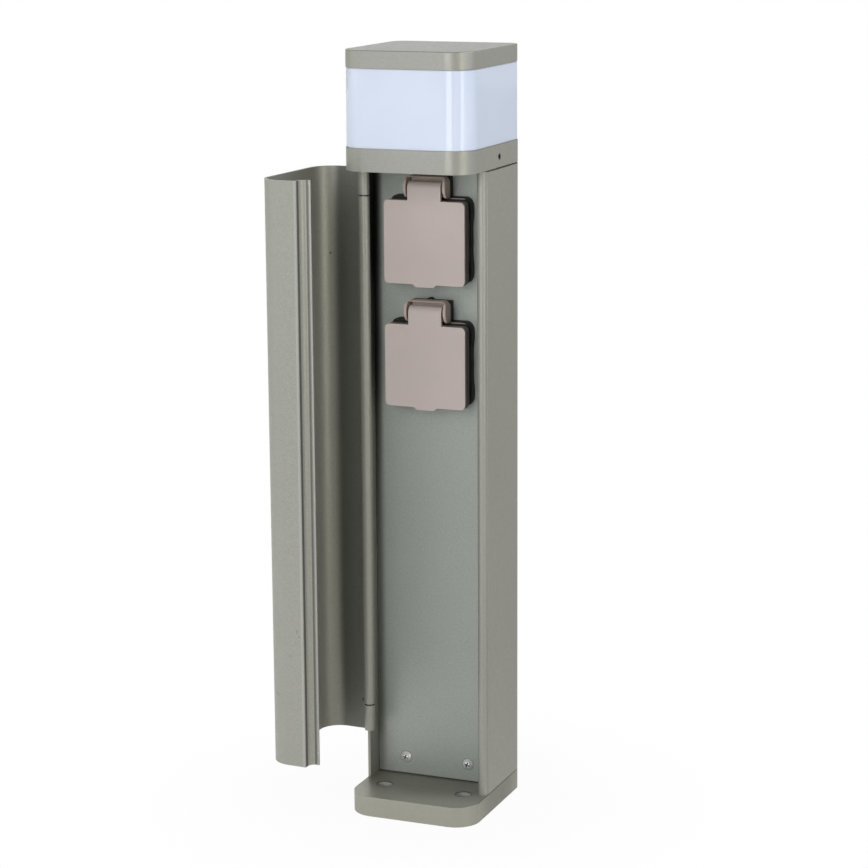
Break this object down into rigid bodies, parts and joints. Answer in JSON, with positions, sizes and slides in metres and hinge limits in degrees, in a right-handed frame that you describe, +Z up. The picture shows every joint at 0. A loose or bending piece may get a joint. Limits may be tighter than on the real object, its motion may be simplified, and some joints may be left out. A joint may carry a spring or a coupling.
{
  "type": "garden lamp post with sockets",
  "caption": "Garden lamp post: rounded square grey column on a base plate, hinged door standing open, lidded outdoor sockets on a recessed panel, opal lamp band under a flat cap.",
  "frame": {"origin": "centre of the base plate's bottom face, which is the middle of its fixing holes", "axes": "+Z up along the post, -Y towards the open front with the sockets, +X towards the latch side; the door is hinged on the -X side"},
  "size_m": [0.1227, 0.1504, 0.5117],
  "materials": {
    "post_paint": "satin grey powder coat",
    "door_paint": "satin grey powder coat",
    "panel_paint": "fine grained grey powder coat",
    "zinc_steel": "bright zinc plate",
    "black_rubber": "matte",
    "taupe_plastic": "matte moulded",
    "grey_plastic": "matte moulded",
    "contact_brass": "bright",
    "white_plastic": "satin moulded",
    "led_phosphor": "yellow phosphor",
    "cable_sheath": "satin cable sheath",
    "plate_aluminium": "mill finish",
    "opal_plastic": "glossy opal white"
  },
  "bodies": {
    "post": {"base_plate": "post_paint", "base_bracket": "zinc_steel", "bracket_screws": "zinc_steel", "cable_grommet": "black_rubber", "column_body": "post_paint", "front_panel": "panel_paint", "panel_screws": "zinc_steel", "hinge_pins": "zinc_steel", "hinge_washers": "black_rubber", "gasket_upper": "black_rubber", "gasket_lower": "black_rubber", "frame_upper": "taupe_plastic", "frame_lower": "taupe_plastic", "insert_upper": "grey_plastic", "insert_lower": "grey_plastic", "contacts_upper": "contact_brass", "contacts_lower": "contact_brass", "earth_clips_upper": "zinc_steel", "earth_clips_lower": "zinc_steel", "lid_pin_upper": "zinc_steel", "lid_pin_lower": "zinc_steel", "lid_spring_upper": "zinc_steel", "lid_spring_lower": "zinc_steel", "socket_screws": "zinc_steel", "socket_nuts": "zinc_steel", "terminal_block": "white_plastic", "terminal_clamps": "contact_brass", "led_driver": "white_plastic", "wiring_loom": "cable_sheath", "head_spigot": "zinc_steel", "spigot_screws": "zinc_steel", "head_gasket": "black_rubber", "lamp_collar": "post_paint", "set_screws": "zinc_steel", "lamp_plate": "plate_aluminium", "led_board": "white_plastic", "leds": "led_phosphor", "lower_lens_seal": "black_rubber", "diffuser": "opal_plastic", "upper_lens_seal": "black_rubber", "top_cap": "post_paint", "tie_rods": "zinc_steel"},
    "door": {"door_shell": "door_paint"},
    "upper_lid": {"lid_upper": "taupe_plastic", "lid_seal_upper": "black_rubber"},
    "lower_lid": {"lid_lower": "taupe_plastic", "lid_seal_lower": "black_rubber"}
  },
  "joints": [
    {"name": "door_hinge", "type": "hinge", "parent": "post", "child": "door", "pos_m": [-0.0414, -0.0156, 0.24], "axis": [0, 0, 1], "range_deg": [-3, 92.6]},
    {"name": "upper_lid_hinge", "type": "hinge", "parent": "post", "child": "upper_lid", "pos_m": [0, -0.009, 0.42085], "axis": [1, 0, 0], "range_deg": [-31, 0], "stiffness_Nm_per_rad": 0.01, "springref_deg": 28.65},
    {"name": "lower_lid_hinge", "type": "hinge", "parent": "post", "child": "lower_lid", "pos_m": [0, -0.009, 0.33895], "axis": [1, 0, 0], "range_deg": [-31, 0], "stiffness_Nm_per_rad": 0.01, "springref_deg": 28.65}
  ]
}
